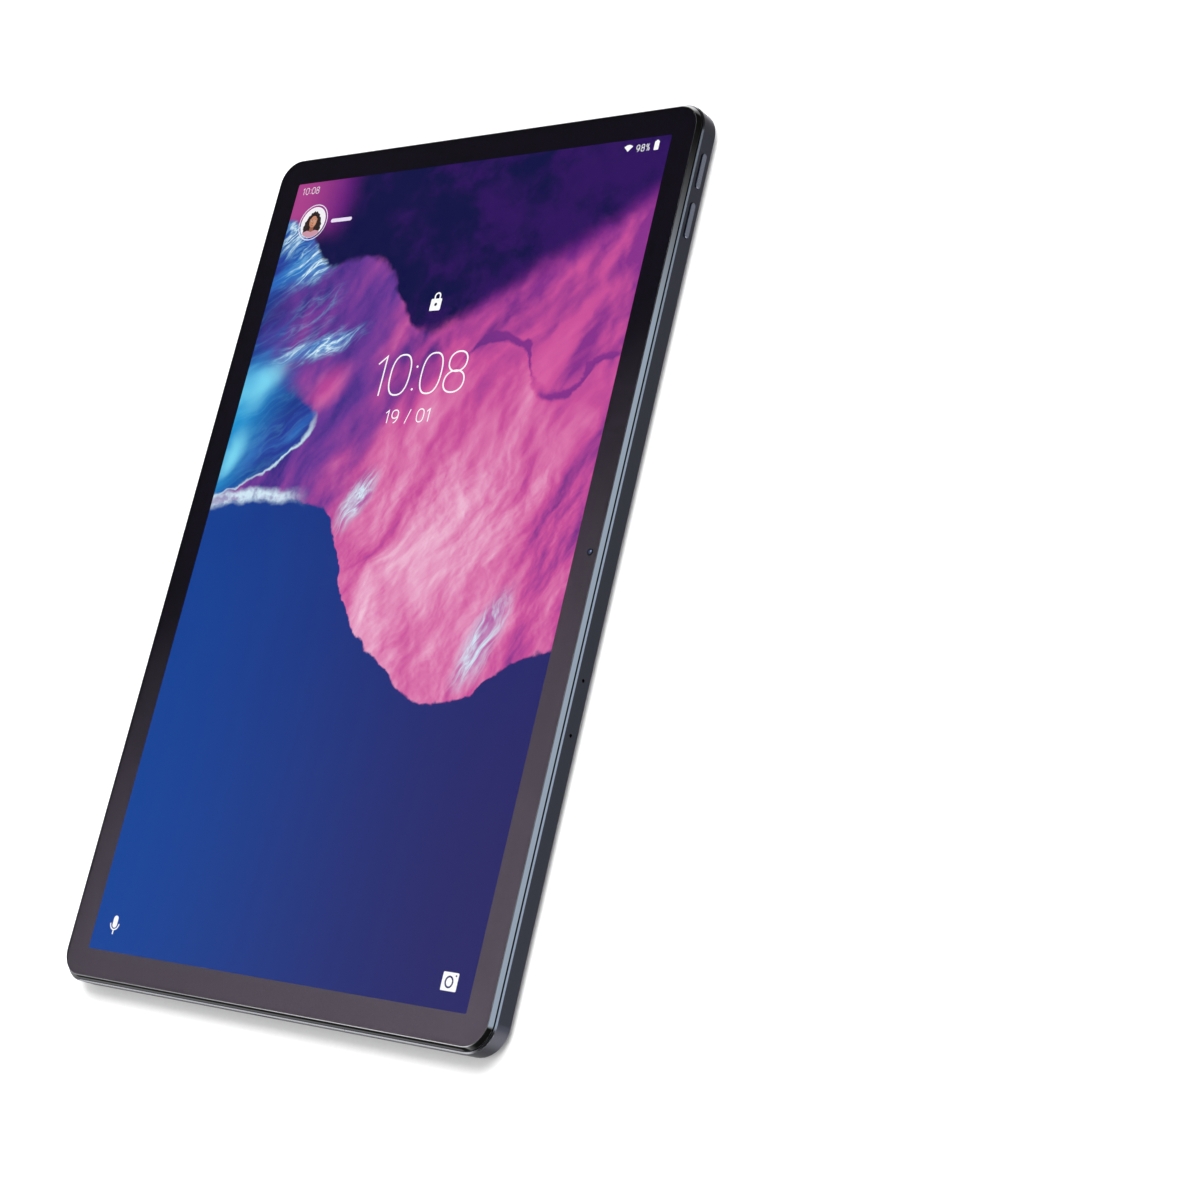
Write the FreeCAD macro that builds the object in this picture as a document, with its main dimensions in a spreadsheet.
import FreeCAD, Part
import os
import re

import Sketcher

# A slate tablet computer lying on its back, in millimetres.
# Every piece is drawn with the tablet upright on a short side: X across it, to the long side
# with the volume keys, Z up it, to the short side with the power key, and the glass facing -Y.
# keep() then lays the piece on its back, so in the finished frame the screen faces +Z, the power
# key is on the +Y short side, and the origin is under the middle of the tablet.

DIMENSIONS = {
    # how far a cutting tool runs past the face it cuts, and the gap round a piece that is glued in
    "tool_reach": 1.0,
    "snug_gap": 0.05,
    # outside of the casing
    "body_wide": 163.0,
    "body_tall": 258.4,
    "body_thick": 7.5,
    "body_corner": 8.5,
    "front_level": -4.4,
    "wall_thick": 1.0,
    "back_thick": 0.8,
    "back_chamfer": 0.6,
    "rim_chamfer": 0.4,
    "rim_depth": 1.45,
    "seam_place": 32.3,
    "seam_gap": 0.1,
    "tongue_wide": 2.0,
    "tongue_thick": 0.8,
    "tongue_margin": 12.0,
    # cover glass and display module
    "glass_inset": 0.6,
    "glass_thick": 1.2,
    "glass_bevel": 0.7,
    "glass_bevel_depth": 1.05,
    "film_thick": 0.1,
    "mask_inset": 1.1,
    "screen_wide": 143.76,
    "screen_tall": 239.6,
    "screen_corner": 0.5,
    "panel_margin": 1.82,
    "panel_thick": 0.7,
    "panel_corner": 1.0,
    "sheet_margin": 0.4,
    "diffuser_thick": 0.25,
    "guide_thick": 0.45,
    "reflector_thick": 0.1,
    "tray_thick": 0.2,
    "strip_tall": 3.0,
    "tape_thick": 0.15,
    "tape_inset": 1.5,
    "tape_margin": 1.6,
    # inner frame
    "frame_inset": 1.4,
    "frame_corner": 7.1,
    "frame_margin": 0.5,
    "frame_plate": 0.5,
    "frame_gap": 0.1,
    "key_notch_deep": 3.5,
    "flex_slot_left": 40.0,
    "flex_slot_low": 83.0,
    "flex_slot_wide": 26.0,
    "flex_slot_tall": 3.0,
    # posts and screws
    "post_radius": 2.2,
    "post_inset": 4.3,
    "pilot_radius": 0.65,
    "shank_radius": 0.6,
    "head_radius": 1.4,
    "head_thick": 0.6,
    "shank_length": 2.4,
    "board_post_radius": 1.8,
    # side openings and keys
    "side_level": -0.2,
    "key_wide": 1.8,
    "key_gap": 0.15,
    "key_proud": 0.4,
    "key_edge": 0.2,
    "flange_extra": 0.8,
    "flange_thick": 0.5,
    "flange_gap": 0.05,
    "power_length": 11.6,
    "power_place": 63.6,
    "volume_length": 10.2,
    "volume_up_place": 238.7,
    "volume_down_place": 224.2,
    "switch_wide": 2.6,
    "switch_long": 4.0,
    "switch_deep": 0.8,
    "switch_gap": 0.35,
    "flex_thick": 0.15,
    "bracket_thick": 0.4,
    "key_strip_wide": 2.4,
    # speakers and microphones
    "speaker_place": 44.3,
    "speaker_pitch": 2.17,
    "speaker_hole": 0.55,
    "speaker_wide": 24.0,
    "speaker_deep": 9.0,
    "speaker_thick": 2.8,
    "speaker_inset": 1.5,
    "mesh_wide": 15.4,
    "mesh_tall": 1.6,
    "mesh_thick": 0.2,
    "mic_upper": 96.2,
    "mic_lower": 81.8,
    "mic_hole": 0.5,
    "mic_size": 3.6,
    "mic_deep": 1.4,
    "mic_trim": 0.6,
    "gasket_thick": 0.6,
    # rear camera and flash
    "camera_x": 66.8,
    "camera_z": 244.2,
    "ring_radius": 6.6,
    "ring_top_radius": 6.1,
    "ring_neck": 5.5,
    "ring_proud": 1.3,
    "window_radius": 5.25,
    "window_thick": 0.7,
    "window_sunk": 0.1,
    "ring_bore": 4.4,
    "module_size": 9.6,
    "module_thick": 2.5,
    "barrel_radius": 3.4,
    "flash_z": 232.8,
    "flash_radius": 1.85,
    "flash_led_size": 2.0,
    "flash_led_thick": 0.7,
    # front camera and light sensor
    "selfie_x": 77.0,
    "selfie_z": 129.4,
    "selfie_size": 4.8,
    "selfie_thick": 2.6,
    "selfie_hole": 1.4,
    "sensor_z": 119.0,
    "sensor_wide": 2.0,
    "sensor_tall": 3.0,
    "sensor_thick": 0.8,
    # battery
    "cell_wide": 98.0,
    "cell_tall": 86.0,
    "cell_thick": 2.7,
    "cell_corner": 2.0,
    "cell_left": -72.0,
    "cell_bottom": 42.0,
    "cell_gap": 2.0,
    "cell_level": -0.7,
    "pack_board_wide": 4.6,
    "pack_board_tall": 48.0,
    "pack_board_thick": 0.8,
    # boards
    "board_left": 36.0,
    "board_bottom": 92.0,
    "board_wide": 38.0,
    "board_tall": 144.0,
    "board_level": 0.2,
    "board_thick": 0.8,
    "chip_thick": 0.75,
    "can_tall": 1.05,
    "can_skin": 0.15,
    "graphite_left": 42.0,
    "graphite_low": 100.0,
    "graphite_wide": 29.0,
    "graphite_tall": 124.0,
    "graphite_thick": 0.1,
    "usb_board_wide": 32.0,
    "usb_board_tall": 22.0,
    "usb_board_thick": 0.6,
    # charging socket
    "usb_wide": 8.94,
    "usb_thick": 3.2,
    "usb_long": 7.2,
    "usb_skin": 0.3,
    "usb_tongue_wide": 6.69,
    "usb_tongue_thick": 0.7,
    "usb_tongue_long": 5.0,
    # card slot
    "card_z": 26.0,
    "card_long": 15.5,
    "card_tall": 12.5,
    "card_thick": 0.8,
    "card_rim": 0.8,
    "card_floor": 0.3,
    "card_seat_start": 2.0,
    "card_seat_long": 12.5,
    "card_door_tall": 16.0,
    "card_door_wide": 2.0,
    "card_gap": 0.15,
    "reader_skin": 0.2,
    "reader_start": 1.0,
    "eject_hole": 0.45,
    "eject_offset": 6.5,
    # accessory contacts and magnets
    "dock_pitch": 3.0,
    "dock_hole": 1.05,
    "dock_pin": 0.95,
    "dock_tall": 13.0,
    "dock_wide": 2.6,
    "dock_deep": 2.6,
    "magnet_wide": 3.5,
    "magnet_tall": 12.0,
    "magnet_thick": 2.4,
    # ribbons
    "ribbon_thick": 0.2,
    "ribbon_wide": 6.0,
    "ribbon_foot_left": 8.0,
    "ribbon_left": 27.0,
    "ribbon_low": 18.0,
    "ribbon_high": 97.0,
    "ribbon_head_tall": 4.0,
    "ribbon_plug_tall": 5.0,
    "socket_left": 48.0,
    "socket_low": 96.0,
    "socket_wide": 14.0,
    "socket_tall": 4.0,
    "socket_thick": 0.6,
    "screen_flex_left": 46.0,
    "screen_flex_wide": 18.0,
    "screen_flex_low": 40.0,
    "screen_flex_bend": 84.0,
    "screen_flex_head": 16.0,
    # aerials
    "aerial_wide": 17.0,
    "aerial_tall": 30.0,
    "aerial_thick": 1.3,
    "aerial_left": 62.0,
    "aerial_low": 22.0,
    "edge_aerial_left": 76.2,
    "edge_aerial_low": 168.0,
    "lead_radius": 0.5,
    "lead_left": 68.0,
    "lead_side": 172.0,
}

FRAME_POST_HEIGHTS_LEFT = (12.0, 75.0, 183.0, 246.0)
FRAME_POST_HEIGHTS_RIGHT = (12.0, 62.0, 160.0, 212.0)
END_POST_PLACES = (-20.0, 20.0)
MAGNET_HEIGHTS = (60.0, 100.0, 158.0, 198.0)
BOARD_POSTS = ((38.5, 94.5), (71.5, 94.5), (38.5, 164.0), (71.5, 164.0), (38.5, 233.0))
SPEAKER_HOLES = 7
DOCK_PINS = 4

doc = FreeCAD.newDocument("TabletComputer")
sheet = doc.addObject("Spreadsheet::Sheet", "dims")
for row, (alias, number) in enumerate(DIMENSIONS.items(), start=1):
    sheet.set(f"A{row}", alias)
    sheet.set(f"B{row}", str(number))
    sheet.setAlias(f"B{row}", alias)
doc.recompute()

sub_parts = []

# Levels along Y, counted from the glass towards the back.
GLASS_BACK = "front_level + glass_thick"
PANEL_FRONT = GLASS_BACK + " + film_thick"
PANEL_BACK = PANEL_FRONT + " + panel_thick"
GUIDE_FRONT = PANEL_BACK + " + diffuser_thick"
REFLECTOR_FRONT = GUIDE_FRONT + " + guide_thick"
TRAY_FLOOR = REFLECTOR_FRONT + " + reflector_thick"
TRAY_BACK = TRAY_FLOOR + " + tray_thick"
FRAME_FRONT = PANEL_FRONT + " + tape_thick"
PLATE_FRONT = TRAY_BACK + " + frame_gap"
PLATE_BACK = PLATE_FRONT + " + frame_plate"
RIM = "front_level + rim_depth"
BACK = "front_level + body_thick"
BACK_INSIDE = BACK + " - back_thick"
MIDDLE = "body_tall / 2"
WALL_INSIDE = "body_wide / 2 - wall_thick"
TOP_INSIDE = "body_tall - wall_thick"
BOARD_BACK = "board_level + board_thick"
CANS_BACK = BOARD_BACK + " + can_tall"

AXES = {
    "X": FreeCAD.Vector(1, 0, 0),
    "Y": FreeCAD.Vector(0, 1, 0),
    "Z": FreeCAD.Vector(0, 0, 1),
}


def cells(expression):
    """Point every alias, the only words with an underscore, at the spreadsheet."""
    return re.sub(r"\b([a-z]+(?:_[a-z]+)+)\b", r"dims.\1", str(expression))


def measure(expression):
    """Work a length out from the spreadsheet."""
    return float(sheet.evalExpression(cells(expression)))


def bind(item, expressions):
    for name, expression in expressions.items():
        item.setExpression(name, cells(expression))


def place(item, base):
    bind(item, {f"Placement.Base.{axis}": value for axis, value in zip("xyz", base)})
    return item


def keep(item, name):
    """Lay a finished sub-part on its back and name it; its name is also its file's name."""
    if item.TypeId in ("Part::Box", "Part::Cylinder"):
        item.Label = name + "_drawn"
        item = group(name + "_laid", [item])
    item.Placement.Rotation = FreeCAD.Rotation(AXES["X"], -90)
    place(item, ("0", f"-({MIDDLE})", f"({BACK}) + ring_proud"))
    item.Label = name
    sub_parts.append(item)


# ---------------------------------------------------------------- plain shapes


def block(name, low, size):
    item = doc.addObject("Part::Box", name)
    bind(item, dict(zip(("Length", "Width", "Height"), size)))
    return place(item, low)


def rod(name, radius, length, base, axis):
    item = doc.addObject("Part::Cylinder", name)
    item.Placement.Rotation = FreeCAD.Rotation(AXES["Z"], AXES[axis])
    bind(item, {"Radius": radius, "Height": length})
    return place(item, base)


def cone(name, base_radius, top_radius, length, base, axis):
    item = doc.addObject("Part::Cone", name)
    item.Placement.Rotation = FreeCAD.Rotation(AXES["Z"], AXES[axis])
    bind(item, {"Radius1": base_radius, "Radius2": top_radius, "Height": length})
    return place(item, base)


def fuse(name, items):
    item = doc.addObject("Part::MultiFuse", name)
    item.Shapes = items
    return item


def cut(name, base, tool):
    item = doc.addObject("Part::Cut", name)
    item.Base = base
    item.Tool = tool
    return item


def common(name, base, tool):
    item = doc.addObject("Part::MultiCommon", name)
    item.Shapes = [base, tool]
    return item


def group(name, items):
    """Several separate solids that are one node, such as a set of screws."""
    item = doc.addObject("Part::Compound", name)
    item.Links = items
    return item


# ---------------------------------------------------------------- sketched shapes


def origin_plane(body, role):
    return next(f for f in body.Origin.OriginFeatures if f.Role == role)


def new_sketch(body, role, offset):
    """An empty sketch on one of the body's own planes, moved by an offset in its own axes."""
    sketch = body.newObject("Sketcher::SketchObject", body.Name + "_sketch")
    sketch.AttachmentSupport = (origin_plane(body, role), [""])
    sketch.MapMode = "FlatFace"
    bind(sketch, {f"AttachmentOffset.Base.{axis}": value for axis, value in zip("xyz", offset)})
    return sketch


def arc(x, y, radius, start, stop):
    circle = Part.Circle(FreeCAD.Vector(x, y, 0), AXES["Z"], radius)
    quarter = 1.5707963267948966
    return Part.ArcOfCircle(circle, start * quarter, stop * quarter)


def line(x1, y1, x2, y2):
    return Part.LineSegment(FreeCAD.Vector(x1, y1, 0), FreeCAD.Vector(x2, y2, 0))


def name_constraint(sketch, constraint, name, expression):
    index = sketch.addConstraint(constraint)
    sketch.renameConstraint(index, name)
    bind(sketch, {f"Constraints.{name}": expression})


def rounded_outline(sketch, wide, tall, radius):
    """A rectangle with four equal round corners, centred on the sketch's origin."""
    w, t, r = measure(wide) / 2, measure(tall) / 2, measure(radius)
    sketch.addGeometry(
        [
            line(-w + r, -t, w - r, -t),
            line(w, -t + r, w, t - r),
            line(w - r, t, -w + r, t),
            line(-w, t - r, -w, -t + r),
            arc(w - r, -t + r, r, 3, 4),
            arc(w - r, t - r, r, 0, 1),
            arc(-w + r, t - r, r, 1, 2),
            arc(-w + r, -t + r, r, 2, 3),
        ]
    )
    for side in range(4):
        corner = 4 + side
        following = (side + 1) % 4
        sketch.addConstraint(Sketcher.Constraint("Tangent", side, 2, corner, 1))
        sketch.addConstraint(Sketcher.Constraint("Tangent", corner, 2, following, 1))
    for side in (0, 2):
        sketch.addConstraint(Sketcher.Constraint("Horizontal", side))
    for side in (1, 3):
        sketch.addConstraint(Sketcher.Constraint("Vertical", side))
    for corner in (4, 5, 6):
        sketch.addConstraint(Sketcher.Constraint("Equal", corner, corner + 1))
    sketch.addConstraint(Sketcher.Constraint("Symmetric", 4, 3, 6, 3, -1, 1))
    name_constraint(sketch, Sketcher.Constraint("Radius", 4, r), "corner", radius)
    name_constraint(sketch, Sketcher.Constraint("DistanceX", 3, 1, 1, 1, 2 * w), "wide", wide)
    name_constraint(sketch, Sketcher.Constraint("DistanceY", 0, 1, 2, 1, 2 * t), "tall", tall)


def slot_outline(sketch, length, wide, upright):
    """A slot with round ends, centred on the sketch's origin."""
    r = measure(wide) / 2
    half = measure(length) / 2 - r
    if upright:
        pieces = [
            line(r, -half, r, half),
            line(-r, half, -r, -half),
            arc(0, half, r, 0, 2),
            arc(0, -half, r, 2, 4),
        ]
        direction, spread = "Vertical", "DistanceY"
    else:
        pieces = [
            line(-half, -r, half, -r),
            line(half, r, -half, r),
            arc(half, 0, r, 3, 5),
            arc(-half, 0, r, 1, 3),
        ]
        direction, spread = "Horizontal", "DistanceX"
    sketch.addGeometry(pieces)
    for first, second in ((0, 2), (2, 1), (1, 3), (3, 0)):
        sketch.addConstraint(Sketcher.Constraint("Tangent", first, 2, second, 1))
    sketch.addConstraint(Sketcher.Constraint(direction, 0))
    sketch.addConstraint(Sketcher.Constraint("Symmetric", 2, 3, 3, 3, -1, 1))
    name_constraint(sketch, Sketcher.Constraint("Radius", 2, r), "ends", f"({wide}) / 2")
    centres = Sketcher.Constraint(spread, 3, 3, 2, 3, 2 * half)
    name_constraint(sketch, centres, "spread", f"({length}) - ({wide})")


def pad(body, sketch, length):
    feature = body.newObject("PartDesign::Pad", body.Name + "_pad")
    feature.Profile = sketch
    bind(feature, {"Length": length})
    sketch.Visibility = False
    return feature


def pocket(body, sketch, depth):
    feature = body.newObject("PartDesign::Pocket", body.Name + "_pocket")
    feature.Profile = sketch
    bind(feature, {"Length": depth})
    sketch.Visibility = False
    return feature


def edges_at(feature, axis, level):
    """Names of the edges that lie wholly in the plane where one coordinate has this value."""
    found = []
    for index, edge in enumerate(feature.Shape.Edges, start=1):
        box = edge.BoundBox
        low, high = getattr(box, axis + "Min"), getattr(box, axis + "Max")
        if abs(low - level) < 1e-3 and abs(high - level) < 1e-3:
            found.append(f"Edge{index}")
    return found


def chamfer(body, feature, axis, level, size, second_size=None):
    doc.recompute()
    bevel = body.newObject("PartDesign::Chamfer", body.Name + "_chamfer")
    bevel.Base = (feature, edges_at(feature, axis, measure(level)))
    bind(bevel, {"Size": size})
    if second_size is not None:
        bevel.ChamferType = "Two distances"
        bind(bevel, {"Size2": second_size})
    return bevel


def fillet(body, feature, axis, level, radius):
    doc.recompute()
    rounding = body.newObject("PartDesign::Fillet", body.Name + "_fillet")
    rounding.Base = (feature, edges_at(feature, axis, measure(level)))
    bind(rounding, {"Radius": radius})
    return rounding


def upright_plate(name, wide, tall, radius, front, thick, centre=("0", MIDDLE)):
    """A rounded plate whose broad faces look along -Y and +Y."""
    body = doc.addObject("PartDesign::Body", name)
    back = f"-(({front}) + ({thick}))"
    sketch = new_sketch(body, "XZ_Plane", (centre[0], centre[1], back))
    rounded_outline(sketch, wide, tall, radius)
    pad(body, sketch, thick)
    return body


def cut_window(body, wide, tall, radius, front, depth):
    """Sink a centred rounded window into the front of an upright plate."""
    sketch = new_sketch(body, "XZ_Plane", ("0", MIDDLE, f"-({front})"))
    rounded_outline(sketch, wide, tall, radius)
    return pocket(body, sketch, depth)


def side_slot(name, plane, length, wide, centre, start, depth):
    """A round-ended bar that stands out of the +X side (YZ plane) or the top (XY plane)."""
    body = doc.addObject("PartDesign::Body", name)
    sketch = new_sketch(body, plane, (centre[0], centre[1], start))
    slot_outline(sketch, length, wide, plane == "YZ_Plane")
    pad(body, sketch, depth)
    return body


# ---------------------------------------------------------------- display module


def make_cover_glass():
    wide, tall = "body_wide - 2 * glass_inset", "body_tall - 2 * glass_inset"
    corner = "body_corner - glass_inset"
    glass = upright_plate("cover_glass", wide, tall, corner, "front_level", "glass_thick")
    chamfer(glass, glass.Tip, "Y", "front_level", "glass_bevel_depth", "glass_bevel")
    keep(glass, "cover_glass")


def make_border_mask():
    mask = upright_plate(
        "mask_plate",
        "body_wide - 2 * mask_inset",
        "body_tall - 2 * mask_inset",
        "body_corner - mask_inset",
        GLASS_BACK,
        "film_thick",
    )
    cut_window(mask, "screen_wide", "screen_tall", "screen_corner", GLASS_BACK, "film_thick")
    eye = rod(
        "mask_eye",
        "selfie_hole",
        "3 * film_thick",
        ("selfie_x", GLASS_BACK + " - film_thick", "selfie_z"),
        "Y",
    )
    keep(cut("border_mask", mask, eye), "border_mask")


def make_display_stack():
    film = upright_plate(
        "optical_adhesive", "screen_wide", "screen_tall", "screen_corner", GLASS_BACK, "film_thick"
    )
    keep(film, "optical_adhesive")
    wide, tall = "screen_wide + 2 * panel_margin", "screen_tall + 2 * panel_margin"
    panel = upright_plate("display_panel", wide, tall, "panel_corner", PANEL_FRONT, "panel_thick")
    keep(panel, "display_panel")

    sheet_wide = "screen_wide + 2 * panel_margin - 2 * sheet_margin"
    sheet_tall = "screen_tall + 2 * panel_margin - 2 * sheet_margin"
    sheet_low = "body_tall / 2 - screen_tall / 2 - panel_margin + sheet_margin"
    low_corner = "-(screen_wide / 2 + panel_margin - sheet_margin)"
    diffuser = block(
        "diffuser_sheets",
        (low_corner, PANEL_BACK, sheet_low),
        (sheet_wide, "diffuser_thick", sheet_tall),
    )
    keep(diffuser, "diffuser_sheets")
    strip = block(
        "led_strip",
        (low_corner, GUIDE_FRONT, sheet_low),
        (sheet_wide, "guide_thick", "strip_tall - film_thick"),
    )
    keep(strip, "led_strip")
    guide = block(
        "light_guide",
        (low_corner, GUIDE_FRONT, sheet_low + " + strip_tall"),
        (sheet_wide, "guide_thick", sheet_tall + " - strip_tall"),
    )
    keep(guide, "light_guide")
    reflector = block(
        "reflector_sheet",
        (low_corner, REFLECTOR_FRONT, sheet_low),
        (sheet_wide, "reflector_thick", sheet_tall),
    )
    keep(reflector, "reflector_sheet")

    stack = "diffuser_thick + guide_thick + reflector_thick"
    tray = upright_plate(
        "tray_plate", wide, tall, "panel_corner", PANEL_BACK, stack + " + tray_thick"
    )
    hollow = block("tray_hollow", (low_corner, PANEL_BACK, sheet_low), (sheet_wide, stack, sheet_tall))
    keep(cut("backlight_tray", tray, hollow), "backlight_tray")


def make_display_tape():
    tape = upright_plate(
        "tape_plate",
        "body_wide - 2 * tape_inset",
        "body_tall - 2 * tape_inset",
        "body_corner - tape_inset",
        PANEL_FRONT,
        "tape_thick",
    )
    cut_window(
        tape,
        "screen_wide + 2 * panel_margin + 2 * tape_margin",
        "screen_tall + 2 * panel_margin + 2 * tape_margin",
        "tape_margin",
        PANEL_FRONT,
        "tape_thick",
    )
    eye = block(
        "tape_eye",
        (
            "selfie_x - selfie_size / 2 - film_thick",
            PANEL_FRONT + " - tape_thick",
            "sensor_z - sensor_tall / 2 - film_thick",
        ),
        ("selfie_size + 2 * film_thick", "3 * tape_thick", "selfie_z - sensor_z + 2 * sensor_tall"),
    )
    keep(cut("display_tape", tape, eye), "display_tape")


# ---------------------------------------------------------------- inner frame and screws


def frame_post_places():
    """X and Z of every screw that holds the inner frame to the casing."""
    side = measure("body_wide / 2 - post_inset")
    tall = measure("body_tall")
    inset = measure("post_inset") - measure("film_thick")
    places = [(-side, z) for z in FRAME_POST_HEIGHTS_LEFT]
    places += [(side, z) for z in FRAME_POST_HEIGHTS_RIGHT]
    places += [(x, inset) for x in END_POST_PLACES]
    places += [(x, tall - inset) for x in END_POST_PLACES]
    return places


def make_mid_frame():
    frame = upright_plate(
        "frame_plate_solid",
        "body_wide - 2 * frame_inset",
        "body_tall - 2 * frame_inset",
        "frame_corner",
        FRAME_FRONT,
        f"({PLATE_BACK}) - ({FRAME_FRONT})",
    )
    cut_window(
        frame,
        "screen_wide + 2 * panel_margin + 2 * frame_margin",
        "screen_tall + 2 * panel_margin + 2 * frame_margin",
        "panel_corner + frame_margin",
        FRAME_FRONT,
        f"({PLATE_FRONT}) - ({FRAME_FRONT})",
    )
    posts = [
        rod(
            f"board_post_{index}",
            "board_post_radius",
            f"board_level - ({PLATE_BACK})",
            (str(x), PLATE_BACK, str(z)),
            "Y",
        )
        for index, (x, z) in enumerate(BOARD_POSTS)
    ]
    solid = fuse("frame_with_posts", [frame] + posts)

    deep = f"({PLATE_BACK}) - ({FRAME_FRONT}) + 2 * tool_reach"
    outside = "body_wide / 2 - key_notch_deep"
    key_level = "side_level - key_wide / 2 - flange_extra / 2 - key_gap"
    notch = "key_notch_deep + tool_reach"
    tools = [
        block(
            "notch_volume",
            (outside, key_level, "volume_down_place - volume_length / 2 - 2 * flange_extra"),
            (
                notch,
                deep,
                "volume_up_place - volume_down_place + volume_length + 4 * flange_extra",
            ),
        ),
        block(
            "notch_power",
            (
                "power_place - power_length / 2 - 2 * flange_extra",
                key_level,
                "body_tall - key_notch_deep - flange_extra",
            ),
            ("power_length + 4 * flange_extra", deep, "key_notch_deep + tool_reach + flange_extra"),
        ),
        block(
            "notch_microphones",
            (outside + " - flange_extra", key_level + " - flange_extra", "mic_lower - mic_size"),
            (notch + " + flange_extra", deep, "mic_upper - mic_lower + 2 * mic_size"),
        ),
        block(
            "notch_dock",
            (
                "-body_wide / 2 - tool_reach",
                "side_level - dock_wide / 2 - key_gap",
                "body_tall / 2 - dock_tall / 2 - key_gap",
            ),
            ("dock_deep + wall_thick + tool_reach + 2 * key_gap", deep, "dock_tall + 2 * key_gap"),
        ),
        block(
            "notch_charging",
            (
                "-usb_wide / 2 - flange_extra",
                "side_level - usb_thick / 2 - key_gap",
                "-tool_reach",
            ),
            ("usb_wide + 2 * flange_extra", deep, "usb_long + 2 * tool_reach"),
        ),
        block(
            "opening_front_camera",
            (
                "selfie_x - selfie_size / 2 - key_gap",
                FRAME_FRONT + " - tool_reach",
                "selfie_z - selfie_size / 2 - key_gap",
            ),
            ("selfie_size + 2 * key_gap", deep, "selfie_size + 2 * key_gap"),
        ),
        block(
            "pocket_light_sensor",
            (
                "selfie_x - sensor_wide / 2 - key_gap",
                FRAME_FRONT + " - tool_reach",
                "sensor_z - sensor_tall / 2 - key_gap",
            ),
            ("sensor_wide + 2 * key_gap", "sensor_thick + tool_reach", "sensor_tall + 2 * key_gap"),
        ),
        block(
            "pocket_card_reader",
            (
                "-body_wide / 2 - tool_reach",
                "side_level - card_thick / 2 - 2 * card_gap - reader_skin",
                "card_z - card_tall / 2 - 2 * card_gap - reader_skin",
            ),
            (
                "card_long + wall_thick + 3 * tool_reach",
                deep,
                "card_tall + 4 * card_gap + 2 * reader_skin",
            ),
        ),
        block(
            "slot_display_flex",
            ("flex_slot_left", FRAME_FRONT, "flex_slot_low"),
            ("flex_slot_wide", deep, "flex_slot_tall"),
        ),
    ]
    for index, (x, z) in enumerate(frame_post_places()):
        hole = ("pilot_radius + key_gap", deep, (str(x), FRAME_FRONT + " - tool_reach", str(z)), "Y")
        tools.append(rod(f"frame_hole_{index}", *hole))
        head_well = f"({PLATE_FRONT}) - ({FRAME_FRONT}) + tool_reach"
        sink = ("head_radius + key_gap", head_well, (str(x), FRAME_FRONT + " - tool_reach", str(z)), "Y")
        tools.append(rod(f"frame_sink_{index}", *sink))
    for index, (x, z) in enumerate(BOARD_POSTS):
        pilot = ("pilot_radius", deep, (str(x), FRAME_FRONT + " - tool_reach", str(z)), "Y")
        tools.append(rod(f"board_pilot_{index}", *pilot))
    keep(cut("mid_frame", solid, fuse("frame_tools", tools)), "mid_frame")


def make_screws():
    frame_screws = []
    for index, (x, z) in enumerate(frame_post_places()):
        head_level = f"({PLATE_FRONT}) - head_thick"
        head = rod(
            f"frame_screw_head_{index}", "head_radius", "head_thick", (str(x), head_level, str(z)), "Y"
        )
        shank = rod(
            f"frame_screw_shank_{index}",
            "shank_radius",
            "shank_length + frame_plate",
            (str(x), PLATE_FRONT, str(z)),
            "Y",
        )
        frame_screws.append(fuse(f"frame_screw_{index}", [head, shank]))
    keep(group("frame_screws", frame_screws), "frame_screws")

    board_screws = []
    for index, (x, z) in enumerate(BOARD_POSTS):
        head = rod(
            f"board_screw_head_{index}",
            "head_radius",
            "head_thick",
            (str(x), BOARD_BACK, str(z)),
            "Y",
        )
        shank = rod(
            f"board_screw_shank_{index}",
            "shank_radius",
            "board_thick + head_thick",
            (str(x), "board_level - head_thick", str(z)),
            "Y",
        )
        board_screws.append(fuse(f"board_screw_{index}", [head, shank]))
    keep(group("board_screws", board_screws), "board_screws")


# ---------------------------------------------------------------- casing


def casing_blank(name):
    """The whole back tray, before it is divided at the seam."""
    blank = upright_plate(
        name, "body_wide", "body_tall", "body_corner", RIM, "body_thick - rim_depth"
    )
    chamfer(blank, blank.Tip, "Y", BACK, "back_chamfer")
    chamfer(blank, blank.Tip, "Y", RIM, "rim_chamfer")
    cut_window(
        blank,
        "body_wide - 2 * wall_thick",
        "body_tall - 2 * wall_thick",
        "body_corner - wall_thick",
        RIM,
        "body_thick - rim_depth - back_thick",
    )
    return blank


def casing_posts(name, places):
    length = f"({BACK_INSIDE}) - ({PLATE_BACK})"
    return [
        rod(f"{name}_post_{index}", "post_radius", length, (str(x), PLATE_BACK, str(z)), "Y")
        for index, (x, z) in enumerate(places)
    ]


def post_pilots(name, places):
    return [
        rod(
            f"{name}_pilot_{index}",
            "pilot_radius",
            "shank_length + 2 * film_thick",
            (str(x), PLATE_BACK + " - film_thick", str(z)),
            "Y",
        )
        for index, (x, z) in enumerate(places)
    ]


def grille_holes(name, centre, base):
    """One row of round holes through a short side, above a speaker."""
    middle = (SPEAKER_HOLES - 1) / 2
    return [
        rod(
            f"{name}_hole_{index}",
            "speaker_hole",
            "wall_thick + 2 * key_gap",
            (f"{centre} + {index - middle} * speaker_pitch", "side_level", base),
            "Z",
        )
        for index in range(SPEAKER_HOLES)
    ]


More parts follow.
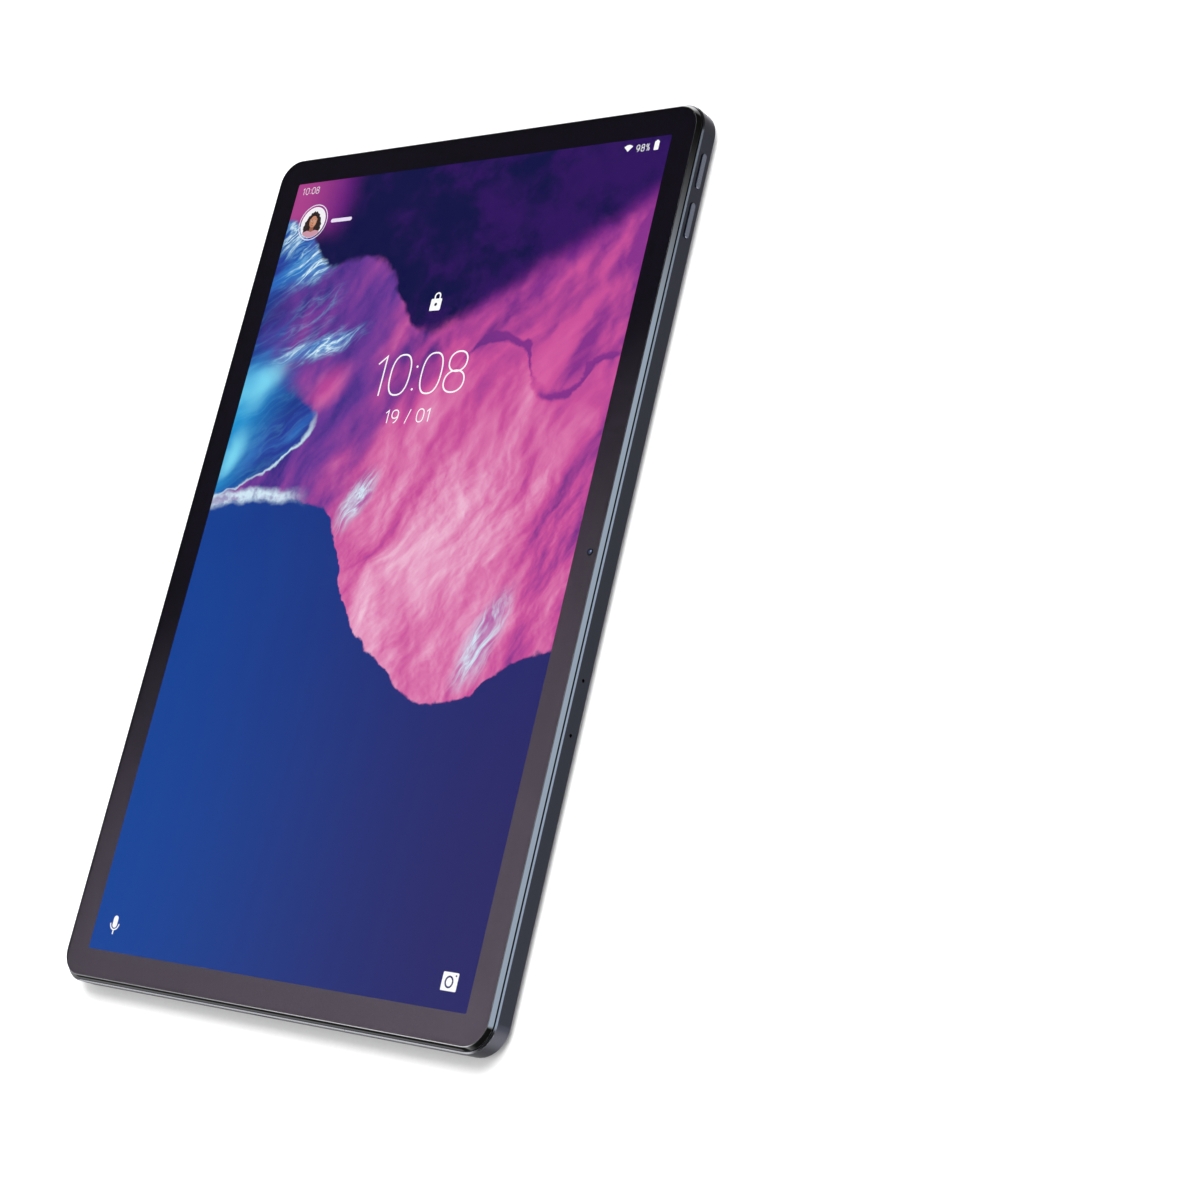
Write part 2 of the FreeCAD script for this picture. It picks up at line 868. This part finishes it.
def make_metal_housing():
    blank = casing_blank("housing_blank")
    half = block(
        "housing_half",
        ("-body_wide", "front_level", "-tool_reach"),
        ("body_wide + seam_place - seam_gap / 2", "2 * body_thick", "body_tall + 2 * tool_reach"),
    )
    seam = measure("seam_place")
    places = [(x, z) for x, z in frame_post_places() if x < seam]
    solid = fuse(
        "housing_with_posts",
        [common("housing_side", blank, half)] + casing_posts("housing", places),
    )
    slot_level = "side_level - card_door_wide / 2 - card_gap"
    tools = post_pilots("housing", places)
    tools += grille_holes("lower_left", "-speaker_place", "-key_gap")
    tools += grille_holes("upper_left", "-speaker_place", "body_tall - wall_thick - key_gap")
    tools.append(
        side_slot(
            "charging_opening",
            "XY_Plane",
            "usb_wide + 2 * film_thick",
            "usb_thick + 2 * film_thick",
            ("0", "side_level"),
            "-tool_reach",
            "wall_thick + 2 * tool_reach",
        )
    )
    tools.append(
        block(
            "card_opening",
            ("-body_wide / 2 - tool_reach", slot_level, "card_z - card_door_tall / 2 - card_gap"),
            (
                "wall_thick + 2 * tool_reach",
                "card_door_wide + 2 * card_gap",
                "card_door_tall + 2 * card_gap",
            ),
        )
    )
    middle = (DOCK_PINS - 1) / 2
    for index in range(DOCK_PINS):
        height = f"body_tall / 2 + {index - middle} * dock_pitch"
        base = ("-body_wide / 2 - tool_reach", "side_level", height)
        tools.append(rod(f"dock_opening_{index}", "dock_hole", "wall_thick + 2 * tool_reach", base, "X"))
    keep(cut("metal_housing", solid, fuse("housing_tools", tools)), "metal_housing")


def make_upper_cover():
    blank = casing_blank("cover_blank")
    half = block(
        "cover_half",
        ("seam_place + seam_gap / 2", "front_level", "-tool_reach"),
        ("body_wide", "2 * body_thick", "body_tall + 2 * tool_reach"),
    )
    tongue = block(
        "cover_tongue",
        (
            "seam_place + seam_gap / 2 - tongue_wide",
            f"({BACK_INSIDE}) - tongue_thick",
            "tongue_margin",
        ),
        (
            "tongue_wide + wall_thick",
            "tongue_thick",
            "body_tall - 2 * tongue_margin",
        ),
    )
    tongue_root = block(
        "cover_tongue_root",
        ("seam_place + seam_gap / 2", f"({BACK_INSIDE}) - tongue_thick", "tongue_margin"),
        ("wall_thick", "tongue_thick + back_thick / 2", "body_tall - 2 * tongue_margin"),
    )
    seam = measure("seam_place")
    places = [(x, z) for x, z in frame_post_places() if x > seam]
    solid = fuse(
        "cover_with_posts",
        [common("cover_side", blank, half), tongue, tongue_root] + casing_posts("cover", places),
    )
    tools = post_pilots("cover", places)
    tools += grille_holes("lower_right", "speaker_place", "-key_gap")
    tools += grille_holes("upper_right", "speaker_place", "body_tall - wall_thick - key_gap")
    through_wall = "wall_thick + 2 * tool_reach"
    for name, place_name in (("up", "volume_up_place"), ("down", "volume_down_place")):
        tools.append(
            side_slot(
                f"volume_{name}_opening",
                "YZ_Plane",
                "volume_length + 2 * key_gap",
                "key_wide + 2 * key_gap",
                ("side_level", place_name),
                WALL_INSIDE + " - tool_reach",
                through_wall,
            )
        )
    tools.append(
        side_slot(
            "power_opening",
            "XY_Plane",
            "power_length + 2 * key_gap",
            "key_wide + 2 * key_gap",
            ("power_place", "side_level"),
            TOP_INSIDE + " - tool_reach",
            through_wall,
        )
    )
    for name in ("mic_upper", "mic_lower"):
        base = (WALL_INSIDE + " - tool_reach", "side_level", name)
        tools.append(rod(name + "_opening", "mic_hole", through_wall, base, "X"))
    through_back = "back_thick + 2 * tool_reach"
    camera = ("camera_x", BACK_INSIDE + " - tool_reach", "camera_z")
    tools.append(rod("camera_opening", "ring_neck + film_thick", through_back, camera, "Y"))
    flash = ("camera_x", BACK_INSIDE + " - tool_reach", "flash_z")
    tools.append(rod("flash_opening", "flash_radius + snug_gap", through_back, flash, "Y"))
    keep(cut("upper_cover", solid, fuse("cover_tools", tools)), "upper_cover")


# ---------------------------------------------------------------- keys


def make_key(name, plane, length, centre, inside):
    """A key cap in its slot, with the flange that holds it in and a nub that meets the switch."""
    body = doc.addObject("PartDesign::Body", name)
    upright = plane == "YZ_Plane"
    cap_start = f"({inside}) - flange_gap - flange_thick / 2"
    cap = new_sketch(body, plane, (centre[0], centre[1], cap_start))
    slot_outline(cap, length, "key_wide", upright)
    pad(body, cap, "wall_thick + key_proud + flange_gap + flange_thick / 2")
    flange_start = f"({inside}) - flange_gap - flange_thick"
    flange = new_sketch(body, plane, (centre[0], centre[1], flange_start))
    slot_outline(flange, f"{length} + flange_extra", "key_wide + flange_extra", upright)
    pad(body, flange, "flange_thick")
    axis = "X" if upright else "Z"
    fillet(body, body.Tip, axis, f"({inside}) + wall_thick + key_proud", "key_edge")
    keep(body, name)


def make_keys():
    volume_inside, power_inside = WALL_INSIDE, TOP_INSIDE
    for name in ("volume_up", "volume_down"):
        centre = ("side_level", name + "_place")
        make_key(name + "_key", "YZ_Plane", "volume_length", centre, volume_inside)
    centre = ("power_place", "side_level")
    make_key("power_key", "XY_Plane", "power_length", centre, power_inside)


def make_key_switches():
    gap = "flange_gap + flange_thick + switch_gap"
    side_face = f"({WALL_INSIDE}) - ({gap}) - switch_deep"
    top_face = f"({TOP_INSIDE}) - ({gap}) - switch_deep"
    low_level = "side_level - switch_wide / 2"
    switches = [
        block(
            f"switch_{name}",
            (side_face, low_level, f"{name}_place - switch_long / 2"),
            ("switch_deep", "switch_wide", "switch_long"),
        )
        for name in ("volume_up", "volume_down")
    ]
    switches.append(
        block(
            "switch_power",
            ("power_place - switch_long / 2", low_level, top_face),
            ("switch_long", "switch_wide", "switch_deep"),
        )
    )
    keep(group("key_switches", switches), "key_switches")

    strip_level = "side_level - key_strip_wide / 2"
    volume_low = "volume_down_place - volume_length / 2"
    volume_span = "volume_up_place - volume_down_place + volume_length"
    power_low = "power_place - power_length / 2"
    flexes = [
        block(
            "flex_volume",
            (side_face + " - flex_thick", strip_level, volume_low),
            ("flex_thick", "key_strip_wide", volume_span),
        ),
        block(
            "flex_power",
            (power_low, strip_level, top_face + " - flex_thick"),
            ("power_length", "key_strip_wide", "flex_thick"),
        ),
    ]
    keep(group("key_flex", flexes), "key_flex")
    brackets = [
        block(
            "bracket_volume",
            (side_face + " - flex_thick - bracket_thick", strip_level, volume_low),
            ("bracket_thick", "key_strip_wide", volume_span),
        ),
        block(
            "bracket_power",
            (power_low, strip_level, top_face + " - flex_thick - bracket_thick"),
            ("power_length", "key_strip_wide", "bracket_thick"),
        ),
    ]
    keep(group("key_brackets", brackets), "key_brackets")


# ---------------------------------------------------------------- cameras and light


def make_rear_camera():
    base = ("camera_x", BACK, "camera_z")
    flare = cone("ring_flare", "ring_radius", "ring_top_radius", "ring_proud", base, "Y")
    neck_base = ("camera_x", BACK_INSIDE, "camera_z")
    neck = rod("ring_neck_solid", "ring_neck", "back_thick + ring_proud / 2", neck_base, "Y")
    seat = f"({BACK}) + ring_proud - window_sunk - window_thick"
    bore_base = ("camera_x", BACK_INSIDE + " - tool_reach", "camera_z")
    bore = rod("ring_bore_tool", "ring_bore", "back_thick + ring_proud + 2 * tool_reach", bore_base, "Y")
    rebate_base = ("camera_x", seat, "camera_z")
    rebate = rod("ring_rebate", "window_radius + snug_gap", "window_thick + tool_reach", rebate_base, "Y")
    ring = cut("camera_ring", fuse("ring_solid", [flare, neck]), fuse("ring_tool", [bore, rebate]))
    keep(ring, "camera_ring")
    window = rod("camera_window", "window_radius", "window_thick", rebate_base, "Y")
    keep(window, "camera_window")

    module = block(
        "rear_camera_module",
        ("camera_x - module_size / 2", "cell_level", "camera_z - module_size / 2"),
        ("module_size", "module_thick", "module_size"),
    )
    keep(module, "rear_camera_module")
    barrel_base = ("camera_x", "cell_level + module_thick", "camera_z")
    barrel_length = f"({seat}) - cell_level - module_thick - film_thick"
    keep(rod("rear_camera_barrel", "barrel_radius", barrel_length, barrel_base, "Y"), "rear_camera_barrel")


def make_flash():
    base = ("camera_x", BACK_INSIDE, "flash_z")
    keep(rod("flash_lens", "flash_radius", "back_thick + snug_gap", base, "Y"), "flash_lens")
    led = block(
        "flash_led",
        ("camera_x - flash_led_size / 2", BOARD_BACK, "flash_z - flash_led_size / 2"),
        ("flash_led_size", "flash_led_thick", "flash_led_size"),
    )
    keep(led, "flash_led")


def make_front_sensors():
    module = block(
        "front_camera_box",
        ("selfie_x - selfie_size / 2", FRAME_FRONT, "selfie_z - selfie_size / 2"),
        ("selfie_size", "selfie_thick", "selfie_size"),
    )
    eye_base = ("selfie_x", PANEL_FRONT, "selfie_z")
    eye = rod("front_camera_eye", "selfie_hole", "2 * tape_thick", eye_base, "Y")
    keep(fuse("front_camera_module", [module, eye]), "front_camera_module")
    sensor = block(
        "light_sensor",
        ("selfie_x - sensor_wide / 2", FRAME_FRONT, "sensor_z - sensor_tall / 2"),
        ("sensor_wide", "sensor_thick - film_thick", "sensor_tall"),
    )
    keep(sensor, "light_sensor")


# ---------------------------------------------------------------- battery


def make_battery():
    for index, name in enumerate(("battery_cell_lower", "battery_cell_upper")):
        height = f"cell_bottom + cell_tall / 2 + {index} * (cell_tall + cell_gap)"
        cell = upright_plate(
            name,
            "cell_wide",
            "cell_tall",
            "cell_corner",
            "cell_level",
            "cell_thick",
            ("cell_left + cell_wide / 2", height),
        )
        keep(cell, name)
    board = block(
        "battery_board",
        (
            "cell_left + cell_wide + film_thick",
            "board_level",
            "cell_bottom + cell_tall + cell_gap / 2 - pack_board_tall / 2",
        ),
        ("pack_board_wide", "pack_board_thick", "pack_board_tall"),
    )
    keep(board, "battery_board")
    back = "cell_level + cell_thick"
    strips = [
        block(
            f"battery_tape_{index}",
            (
                "cell_left + cell_wide * 0.15",
                back,
                f"cell_bottom + cell_tall * {0.2 + 0.5 * (index % 2)}"
                f" + {index // 2} * (cell_tall + cell_gap)",
            ),
            ("cell_wide * 0.7", f"({BACK_INSIDE}) - ({back})", "cell_tall * 0.1"),
        )
        for index in range(4)
    ]
    keep(group("battery_tapes", strips), "battery_tapes")


# ---------------------------------------------------------------- boards


def make_main_board():
    board = block(
        "board_blank",
        ("board_left", "board_level", "board_bottom"),
        ("board_wide", "board_thick", "board_tall"),
    )
    holes = [
        rod(
            f"board_hole_{index}",
            "pilot_radius",
            "board_thick + 2 * tool_reach",
            (str(x), "board_level - tool_reach", str(z)),
            "Y",
        )
        for index, (x, z) in enumerate(BOARD_POSTS)
    ]
    keep(cut("main_board", board, fuse("board_holes", holes)), "main_board")

    # X and Z of the low corner, and width and height, of each chip on the board's back.
    chips = (
        (46.0, 196.0, 14.0, 14.0),
        (46.0, 180.0, 12.0, 11.0),
        (60.5, 182.0, 7.0, 9.0),
        (46.0, 130.0, 10.0, 10.0),
        (58.5, 132.0, 8.0, 8.0),
        (46.0, 106.0, 7.0, 7.0),
    )
    solids = [
        block(f"chip_{index}", (str(x), BOARD_BACK, str(z)), (str(w), "chip_thick", str(t)))
        for index, (x, z, w, t) in enumerate(chips)
    ]
    keep(group("main_chips", solids), "main_chips")

    # Low corner, width and height of the pressed lids that screen the chips.
    lids = ((43.0, 176.0, 27.0, 38.0), (43.0, 126.0, 27.0, 20.0), (43.0, 102.0, 18.0, 16.0))
    cans = []
    for index, (x, z, w, t) in enumerate(lids):
        low = (str(x), BOARD_BACK, str(z))
        outer = block(f"can_{index}_outer", low, (str(w), "can_tall", str(t)))
        inner = block(
            f"can_{index}_inner",
            (f"{x} + can_skin", BOARD_BACK, f"{z} + can_skin"),
            (f"{w} - 2 * can_skin", "can_tall - can_skin", f"{t} - 2 * can_skin"),
        )
        cans.append(cut(f"can_{index}", outer, inner))
    keep(group("shield_cans", cans), "shield_cans")

    graphite = block(
        "heat_spreader",
        ("graphite_left", CANS_BACK, "graphite_low"),
        ("graphite_wide", "graphite_thick", "graphite_tall"),
    )
    keep(graphite, "heat_spreader")


def make_usb_parts():
    level = "side_level + usb_thick / 2"
    board = block(
        "charging_board",
        ("-usb_board_wide / 2", level, "wall_thick + usb_skin"),
        ("usb_board_wide", "usb_board_thick", "usb_board_tall"),
    )
    keep(board, "charging_board")
    shell = side_slot(
        "usb_shell_blank",
        "XY_Plane",
        "usb_wide",
        "usb_thick",
        ("0", "side_level"),
        "usb_skin",
        "usb_long",
    )
    hollow = side_slot(
        "usb_shell_hollow",
        "XY_Plane",
        "usb_wide - 2 * usb_skin",
        "usb_thick - 2 * usb_skin",
        ("0", "side_level"),
        "-usb_skin",
        "usb_long",
    )
    keep(cut("usb_c_shell", shell, hollow), "usb_c_shell")
    tongue = block(
        "usb_c_tongue",
        (
            "-usb_tongue_wide / 2",
            "side_level - usb_tongue_thick / 2",
            "usb_long - usb_skin - usb_tongue_long",
        ),
        ("usb_tongue_wide", "usb_tongue_thick", "usb_tongue_long"),
    )
    keep(tongue, "usb_c_tongue")


def make_flexes():
    # The long ribbon runs beside the battery, from the charging board to the main board.
    level = "board_level - ribbon_thick"
    reach = "ribbon_left + ribbon_wide - ribbon_foot_left"
    rise = "ribbon_high + ribbon_head_tall - ribbon_low"
    ribbon = [
        block(
            "ribbon_foot", ("ribbon_foot_left", level, "ribbon_low"), (reach, "ribbon_thick", "ribbon_wide")
        ),
        block("ribbon_riser", ("ribbon_left", level, "ribbon_low"), ("ribbon_wide", "ribbon_thick", rise)),
        block(
            "ribbon_head",
            ("ribbon_left", level, "ribbon_high"),
            ("2 * ribbon_wide", "ribbon_thick", "ribbon_head_tall"),
        ),
    ]
    keep(fuse("main_flex", ribbon), "main_flex")
    plug = block(
        "ribbon_plug",
        ("ribbon_foot_left", "board_level", "ribbon_low"),
        ("ribbon_wide", "side_level + usb_thick / 2 - board_level", "ribbon_plug_tall"),
    )
    socket = block(
        "screen_socket",
        ("socket_left", "board_level - socket_thick", "socket_low"),
        ("socket_wide", "socket_thick", "socket_tall"),
    )
    keep(group("board_connectors", [plug, socket]), "board_connectors")

    # The screen's ribbon runs behind the backlight, then turns through the frame to the board.
    front, back = TRAY_BACK, "board_level - socket_thick"
    wide = "screen_flex_wide"
    screen = [
        block(
            "screen_flex_tail",
            ("screen_flex_left", front, "screen_flex_low"),
            (wide, "frame_gap", "screen_flex_bend - screen_flex_low + ribbon_thick"),
        ),
        block(
            "screen_flex_pass",
            ("screen_flex_left", front, "screen_flex_bend"),
            (wide, f"({back}) - ({front})", "ribbon_thick"),
        ),
        block(
            "screen_flex_head",
            ("screen_flex_left", f"({back}) - flex_thick", "screen_flex_bend"),
            (wide, "flex_thick", "screen_flex_head"),
        ),
    ]
    keep(fuse("display_flex", screen), "display_flex")


# ---------------------------------------------------------------- sound


def make_speakers():
    level = "cell_level"
    for side, sign in (("left", "-"), ("right", "")):
        low = f"{sign}speaker_place - speaker_wide / 2"
        size = ("speaker_wide", "speaker_thick", "speaker_deep")
        bottom = block(f"speaker_bottom_{side}", (low, level, "speaker_inset"), size)
        keep(bottom, f"speaker_bottom_{side}")
        height = "body_tall - speaker_inset - speaker_deep"
        top = block(f"speaker_top_{side}", (low, level, height), size)
        keep(top, f"speaker_top_{side}")
    meshes = []
    for index, sign in enumerate(("-", "")):
        for end, height in enumerate(("wall_thick", "body_tall - wall_thick - mesh_thick")):
            meshes.append(
                block(
                    f"mesh_{index}_{end}",
                    (
                        f"{sign}speaker_place - mesh_wide / 2",
                        "side_level - mesh_tall / 2",
                        height,
                    ),
                    ("mesh_wide", "mesh_tall", "mesh_thick"),
                )
            )
    keep(group("speaker_meshes", meshes), "speaker_meshes")


def make_microphones():
    outer = f"({WALL_INSIDE}) - gasket_thick"
    mics, gaskets = [], []
    for name in ("mic_upper", "mic_lower"):
        low = (
            f"({outer}) - mic_deep",
            "side_level - mic_size / 2 + mic_trim",
            f"{name} - mic_size / 2",
        )
        size = ("mic_deep", "mic_size - 2 * mic_trim", "mic_size")
        mics.append(block(name + "_body", low, size))
        base = (outer, "side_level", name)
        ring = rod(name + "_gasket_disc", "mic_size / 3", "gasket_thick", base, "X")
        hole_base = (f"({outer}) - tool_reach", "side_level", name)
        hole = rod(name + "_gasket_hole", "mic_hole", "gasket_thick + 2 * tool_reach", hole_base, "X")
        gaskets.append(cut(name + "_gasket", ring, hole))
    keep(group("microphones", mics), "microphones")
    keep(group("microphone_gaskets", gaskets), "microphone_gaskets")
    strip = block(
        "microphone_flex",
        (
            f"({outer}) - mic_deep - flex_thick",
            "side_level - key_strip_wide / 2",
            "mic_lower - mic_size / 2",
        ),
        ("flex_thick", "key_strip_wide", "mic_upper - mic_lower + mic_size"),
    )
    keep(strip, "microphone_flex")


# ---------------------------------------------------------------- card slot


def make_card_slot():
    level = "side_level - card_thick / 2"
    door = block(
        "card_door",
        ("-body_wide / 2", "side_level - card_door_wide / 2", "card_z - card_door_tall / 2"),
        ("wall_thick", "card_door_wide", "card_door_tall"),
    )
    plate = block(
        "card_plate",
        (f"-({WALL_INSIDE}) - film_thick", level, "card_z - card_tall / 2"),
        ("card_long", "card_thick", "card_tall"),
    )
    seat = block(
        "card_seat",
        (
            f"-({WALL_INSIDE}) + card_seat_start",
            level + " + card_floor",
            "card_z - card_tall / 2 + card_rim",
        ),
        ("card_seat_long", "card_thick", "card_tall - 2 * card_rim"),
    )
    pin_base = ("-body_wide / 2 - tool_reach", "side_level", "card_z + eject_offset")
    pin_hole = rod("card_pin_hole", "eject_hole", "wall_thick + 2 * tool_reach", pin_base, "X")
    solid = fuse("card_solid", [door, plate])
    keep(cut("card_tray", solid, fuse("card_tools", [seat, pin_hole])), "card_tray")

    outer = block(
        "reader_outer",
        (
            f"-({WALL_INSIDE}) + reader_start",
            level + " - card_gap - reader_skin",
            "card_z - card_tall / 2 - card_gap - reader_skin",
        ),
        (
            "card_long + reader_start",
            "card_thick + 2 * card_gap + 2 * reader_skin",
            "card_tall + 2 * card_gap + 2 * reader_skin",
        ),
    )
    inner = block(
        "reader_inner",
        (
            f"-({WALL_INSIDE}) - tool_reach",
            level + " - card_gap",
            "card_z - card_tall / 2 - card_gap",
        ),
        ("card_long + 2 * tool_reach", "card_thick + 2 * card_gap", "card_tall + 2 * card_gap"),
    )
    keep(cut("card_reader", outer, inner), "card_reader")


# ---------------------------------------------------------------- dock, magnets and aerials


def make_dock():
    body = block(
        "dock_connector",
        (f"-({WALL_INSIDE})", "side_level - dock_wide / 2", "body_tall / 2 - dock_tall / 2"),
        ("dock_deep", "dock_wide", "dock_tall"),
    )
    keep(body, "dock_connector")
    middle = (DOCK_PINS - 1) / 2
    contacts = [
        rod(
            f"dock_contact_{index}",
            "dock_pin",
            "wall_thick - snug_gap",
            ("-body_wide / 2 + snug_gap", "side_level", f"body_tall / 2 + {index - middle} * dock_pitch"),
            "X",
        )
        for index in range(DOCK_PINS)
    ]
    keep(group("dock_contacts", contacts), "dock_contacts")
    magnets = [
        block(
            f"magnet_{index}",
            (f"-({WALL_INSIDE}) + frame_gap * 4", "cell_level + film_thick", f"{height} - magnet_tall / 2"),
            ("magnet_wide", "magnet_thick", "magnet_tall"),
        )
        for index, height in enumerate(MAGNET_HEIGHTS)
    ]
    keep(group("cover_magnets", magnets), "cover_magnets")


def make_aerials():
    level = f"({BACK_INSIDE}) - aerial_thick - film_thick"
    size = ("aerial_wide", "aerial_thick", "aerial_tall")
    keep(block("main_aerial", ("aerial_left", level, "aerial_low"), size), "main_aerial")
    narrow = ("aerial_wide / 6", "aerial_thick", "aerial_tall")
    second = block("second_aerial", ("edge_aerial_left", level, "edge_aerial_low"), narrow)
    keep(second, "second_aerial")
    lead_level = f"({BACK_INSIDE}) - aerial_thick / 2 - film_thick"
    board_side = "board_left + board_wide"
    top = "aerial_low + aerial_tall"
    leads = [
        rod("lead_main", "lead_radius", f"board_bottom - ({top})", ("lead_left", lead_level, top), "Z"),
        rod(
            "lead_second",
            "lead_radius",
            f"edge_aerial_left - ({board_side})",
            (board_side, lead_level, "lead_side"),
            "X",
        ),
    ]
    keep(group("aerial_leads", leads), "aerial_leads")


# ---------------------------------------------------------------- the whole object

make_cover_glass()
make_border_mask()
make_display_stack()
make_display_tape()
make_mid_frame()
make_screws()
make_metal_housing()
make_upper_cover()
make_keys()
make_key_switches()
make_rear_camera()
make_flash()
make_front_sensors()
make_battery()
make_main_board()
make_usb_parts()
make_flexes()
make_speakers()
make_microphones()
make_card_slot()
make_dock()
make_aerials()
doc.recompute()

for item in doc.Objects:
    if "Invalid" in item.State or "Error" in item.State:
        raise RuntimeError(f"{item.Label} failed to recompute")
for item in sub_parts:
    if item.Shape.isNull() or not item.Shape.isValid():
        raise RuntimeError(f"{item.Label} has no valid shape")

os.makedirs("parts", exist_ok=True)
for item in sub_parts:
    item.Shape.exportStep(os.path.join("parts", item.Label + ".step"))
print(len(sub_parts), "sub-parts written")
